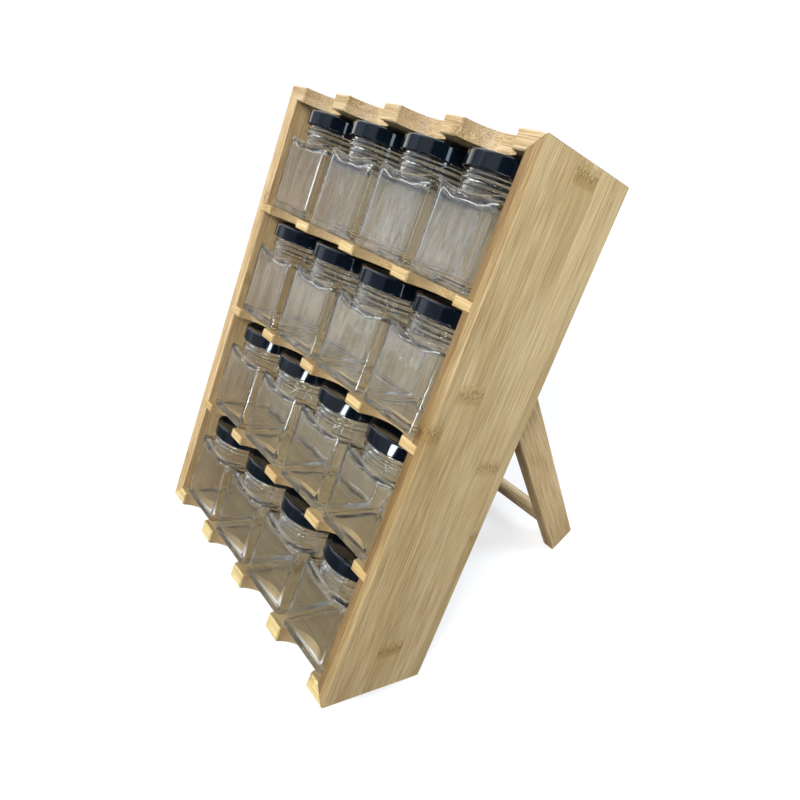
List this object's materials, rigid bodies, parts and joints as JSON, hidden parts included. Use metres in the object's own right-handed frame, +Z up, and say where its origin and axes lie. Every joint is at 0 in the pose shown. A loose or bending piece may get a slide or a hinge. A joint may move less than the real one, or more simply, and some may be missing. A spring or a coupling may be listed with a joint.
{
  "type": "spice rack",
  "caption": "Leaning bamboo spice rack with scalloped shelves, lidded square glass jars and a fold-out rear leg frame.",
  "frame": {"origin": "on the surface that the open rack stands on, under the middle of its length and width", "axes": "+X to the right across the rack, seen from the front; +Y from the front to the rear, where the leg frame stands; +Z up"},
  "size_m": [0.24, 0.2392, 0.3288],
  "materials": {
    "bamboo": "pale honey bamboo, fine straight grain, satin lacquer",
    "jar_glass": "clear pressed glass",
    "lid_black": "gloss black lacquered tinplate",
    "steel": "zinc-plated steel"
  },
  "bodies": {
    "rack": {"side_panel_left": "bamboo", "side_panel_right": "bamboo", "top_board": "bamboo", "bottom_board": "bamboo", "back_panel": "bamboo", "shelf_1": "bamboo", "shelf_2": "bamboo", "shelf_3": "bamboo", "pivot_screws": "steel", "pivot_washers": "steel", "pivot_spacers": "steel"},
    "leg_frame": {"leg_left": "bamboo", "leg_right": "bamboo", "leg_dowel": "bamboo"},
    "jar_1_1": {"jar_1_1": "jar_glass"},
    "lid_1_1": {"lid_1_1": "lid_black"},
    "jar_1_2": {"jar_1_2": "jar_glass"},
    "lid_1_2": {"lid_1_2": "lid_black"},
    "jar_1_3": {"jar_1_3": "jar_glass"},
    "lid_1_3": {"lid_1_3": "lid_black"},
    "jar_1_4": {"jar_1_4": "jar_glass"},
    "lid_1_4": {"lid_1_4": "lid_black"},
    "jar_2_1": {"jar_2_1": "jar_glass"},
    "lid_2_1": {"lid_2_1": "lid_black"},
    "jar_2_2": {"jar_2_2": "jar_glass"},
    "lid_2_2": {"lid_2_2": "lid_black"},
    "jar_2_3": {"jar_2_3": "jar_glass"},
    "lid_2_3": {"lid_2_3": "lid_black"},
    "jar_2_4": {"jar_2_4": "jar_glass"},
    "lid_2_4": {"lid_2_4": "lid_black"},
    "jar_3_1": {"jar_3_1": "jar_glass"},
    "lid_3_1": {"lid_3_1": "lid_black"},
    "jar_3_2": {"jar_3_2": "jar_glass"},
    "lid_3_2": {"lid_3_2": "lid_black"},
    "jar_3_3": {"jar_3_3": "jar_glass"},
    "lid_3_3": {"lid_3_3": "lid_black"},
    "jar_3_4": {"jar_3_4": "jar_glass"},
    "lid_3_4": {"lid_3_4": "lid_black"},
    "jar_4_1": {"jar_4_1": "jar_glass"},
    "lid_4_1": {"lid_4_1": "lid_black"},
    "jar_4_2": {"jar_4_2": "jar_glass"},
    "lid_4_2": {"lid_4_2": "lid_black"},
    "jar_4_3": {"jar_4_3": "jar_glass"},
    "lid_4_3": {"lid_4_3": "lid_black"},
    "jar_4_4": {"jar_4_4": "jar_glass"},
    "lid_4_4": {"lid_4_4": "lid_black"}
  },
  "joints": [
    {"name": "leg_fold", "type": "hinge", "parent": "rack", "child": "leg_frame", "pos_m": [0, 0.04834, 0.19151], "axis": [1, 0, 0], "range_deg": [-48.35, 0]},
    {"name": "jar_1_1_slide", "type": "slide", "parent": "rack", "child": "jar_1_1", "axis": [0, -0.8604, 0.5096], "range_m": [0, 0.06]},
    {"name": "lid_1_1_twist", "type": "hinge", "parent": "jar_1_1", "child": "lid_1_1", "pos_m": [-0.084, 0.06742, 0.30329], "axis": [0, 0.5096, 0.8604], "range_deg": [0, 90]},
    {"name": "jar_1_2_slide", "type": "slide", "parent": "rack", "child": "jar_1_2", "axis": [0, -0.8604, 0.5096], "range_m": [0, 0.06]},
    {"name": "lid_1_2_twist", "type": "hinge", "parent": "jar_1_2", "child": "lid_1_2", "pos_m": [-0.029, 0.06742, 0.30329], "axis": [0, 0.5096, 0.8604], "range_deg": [0, 90]},
    {"name": "jar_1_3_slide", "type": "slide", "parent": "rack", "child": "jar_1_3", "axis": [0, -0.8604, 0.5096], "range_m": [0, 0.06]},
    {"name": "lid_1_3_twist", "type": "hinge", "parent": "jar_1_3", "child": "lid_1_3", "pos_m": [0.026, 0.06742, 0.30329], "axis": [0, 0.5096, 0.8604], "range_deg": [0, 90]},
    {"name": "jar_1_4_slide", "type": "slide", "parent": "rack", "child": "jar_1_4", "axis": [0, -0.8604, 0.5096], "range_m": [0, 0.06]},
    {"name": "lid_1_4_twist", "type": "hinge", "parent": "jar_1_4", "child": "lid_1_4", "pos_m": [0.081, 0.06742, 0.30329], "axis": [0, 0.5096, 0.8604], "range_deg": [0, 90]},
    {"name": "jar_2_1_slide", "type": "slide", "parent": "rack", "child": "jar_2_1", "axis": [0, -0.8604, 0.5096], "range_m": [0, 0.06]},
    {"name": "lid_2_1_twist", "type": "hinge", "parent": "jar_2_1", "child": "lid_2_1", "pos_m": [-0.0835, 0.0265, 0.2342], "axis": [0, 0.5096, 0.8604], "range_deg": [0, 90]},
    {"name": "jar_2_2_slide", "type": "slide", "parent": "rack", "child": "jar_2_2", "axis": [0, -0.8604, 0.5096], "range_m": [0, 0.06]},
    {"name": "lid_2_2_twist", "type": "hinge", "parent": "jar_2_2", "child": "lid_2_2", "pos_m": [-0.0285, 0.0265, 0.2342], "axis": [0, 0.5096, 0.8604], "range_deg": [0, 90]},
    {"name": "jar_2_3_slide", "type": "slide", "parent": "rack", "child": "jar_2_3", "axis": [0, -0.8604, 0.5096], "range_m": [0, 0.06]},
    {"name": "lid_2_3_twist", "type": "hinge", "parent": "jar_2_3", "child": "lid_2_3", "pos_m": [0.0265, 0.0265, 0.2342], "axis": [0, 0.5096, 0.8604], "range_deg": [0, 90]},
    {"name": "jar_2_4_slide", "type": "slide", "parent": "rack", "child": "jar_2_4", "axis": [0, -0.8604, 0.5096], "range_m": [0, 0.06]},
    {"name": "lid_2_4_twist", "type": "hinge", "parent": "jar_2_4", "child": "lid_2_4", "pos_m": [0.0805, 0.0265, 0.2342], "axis": [0, 0.5096, 0.8604], "range_deg": [0, 90]},
    {"name": "jar_3_1_slide", "type": "slide", "parent": "rack", "child": "jar_3_1", "axis": [0, -0.8604, 0.5096], "range_m": [0, 0.06]},
    {"name": "lid_3_1_twist", "type": "hinge", "parent": "jar_3_1", "child": "lid_3_1", "pos_m": [-0.0825, -0.01442, 0.16511], "axis": [0, 0.5096, 0.8604], "range_deg": [0, 90]},
    {"name": "jar_3_2_slide", "type": "slide", "parent": "rack", "child": "jar_3_2", "axis": [0, -0.8604, 0.5096], "range_m": [0, 0.06]},
    {"name": "lid_3_2_twist", "type": "hinge", "parent": "jar_3_2", "child": "lid_3_2", "pos_m": [-0.0275, -0.01442, 0.16511], "axis": [0, 0.5096, 0.8604], "range_deg": [0, 90]},
    {"name": "jar_3_3_slide", "type": "slide", "parent": "rack", "child": "jar_3_3", "axis": [0, -0.8604, 0.5096], "range_m": [0, 0.06]},
    {"name": "lid_3_3_twist", "type": "hinge", "parent": "jar_3_3", "child": "lid_3_3", "pos_m": [0.0275, -0.01442, 0.16511], "axis": [0, 0.5096, 0.8604], "range_deg": [0, 90]},
    {"name": "jar_3_4_slide", "type": "slide", "parent": "rack", "child": "jar_3_4", "axis": [0, -0.8604, 0.5096], "range_m": [0, 0.06]},
    {"name": "lid_3_4_twist", "type": "hinge", "parent": "jar_3_4", "child": "lid_3_4", "pos_m": [0.0825, -0.01442, 0.16511], "axis": [0, 0.5096, 0.8604], "range_deg": [0, 90]},
    {"name": "jar_4_1_slide", "type": "slide", "parent": "rack", "child": "jar_4_1", "axis": [0, -0.8604, 0.5096], "range_m": [0, 0.06]},
    {"name": "lid_4_1_twist", "type": "hinge", "parent": "jar_4_1", "child": "lid_4_1", "pos_m": [-0.0825, -0.05535, 0.09602], "axis": [0, 0.5096, 0.8604], "range_deg": [0, 90]},
    {"name": "jar_4_2_slide", "type": "slide", "parent": "rack", "child": "jar_4_2", "axis": [0, -0.8604, 0.5096], "range_m": [0, 0.06]},
    {"name": "lid_4_2_twist", "type": "hinge", "parent": "jar_4_2", "child": "lid_4_2", "pos_m": [-0.0275, -0.05535, 0.09602], "axis": [0, 0.5096, 0.8604], "range_deg": [0, 90]},
    {"name": "jar_4_3_slide", "type": "slide", "parent": "rack", "child": "jar_4_3", "axis": [0, -0.8604, 0.5096], "range_m": [0, 0.06]},
    {"name": "lid_4_3_twist", "type": "hinge", "parent": "jar_4_3", "child": "lid_4_3", "pos_m": [0.0275, -0.05535, 0.09602], "axis": [0, 0.5096, 0.8604], "range_deg": [0, 90]},
    {"name": "jar_4_4_slide", "type": "slide", "parent": "rack", "child": "jar_4_4", "axis": [0, -0.8604, 0.5096], "range_m": [0, 0.06]},
    {"name": "lid_4_4_twist", "type": "hinge", "parent": "jar_4_4", "child": "lid_4_4", "pos_m": [0.0825, -0.05535, 0.09602], "axis": [0, 0.5096, 0.8604], "range_deg": [0, 90]}
  ]
}
